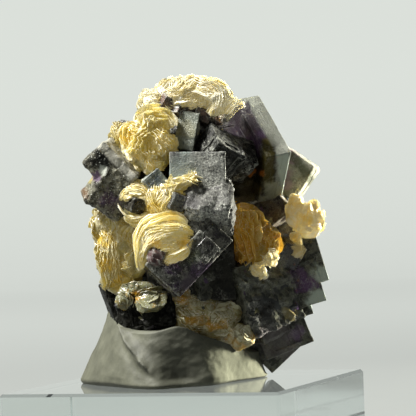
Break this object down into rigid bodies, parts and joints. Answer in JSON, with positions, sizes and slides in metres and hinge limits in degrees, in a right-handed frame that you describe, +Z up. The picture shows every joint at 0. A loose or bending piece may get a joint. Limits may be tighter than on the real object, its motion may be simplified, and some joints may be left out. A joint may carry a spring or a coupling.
{
  "type": "phantom fluorite cube specimen",
  "caption": "Cluster of dark zoned fluorite cubes with golden mica tufts, set in mineral tack on a clear square display block.",
  "frame": {"origin": "centre of the display block's underside", "axes": "+Z up, X and Y along the block's sides, the specimen's best side facing -Y and a little +X"},
  "size_m": [0.05, 0.05, 0.0661],
  "materials": {
    "fluorite": "near-black purple crystal, zoned green and purple inside, with frosted and etched faces",
    "mica": "golden muscovite in thin pearly plates",
    "mica_amber": "iron-stained amber muscovite in thin plates",
    "putty": "matt grey-beige mineral tack with finger ridges",
    "acrylic": "clear polished acrylic"
  },
  "bodies": {
    "root": {"acrylic_block": "acrylic", "putty": "putty", "fluorite_cluster": "fluorite", "top_mica": "mica", "upper_left_mica": "mica", "shoulder_mica": "mica_amber", "centre_mica": "mica", "crest_mica": "mica", "front_mica_rosette": "mica", "left_mica": "mica_amber", "lower_left_mica": "mica", "right_mica": "mica_amber", "right_mica_rosette": "mica", "pearl_mica": "mica", "lower_mica": "mica", "back_mica": "mica", "back_low_mica": "mica_amber"}
  },
  "joints": []
}
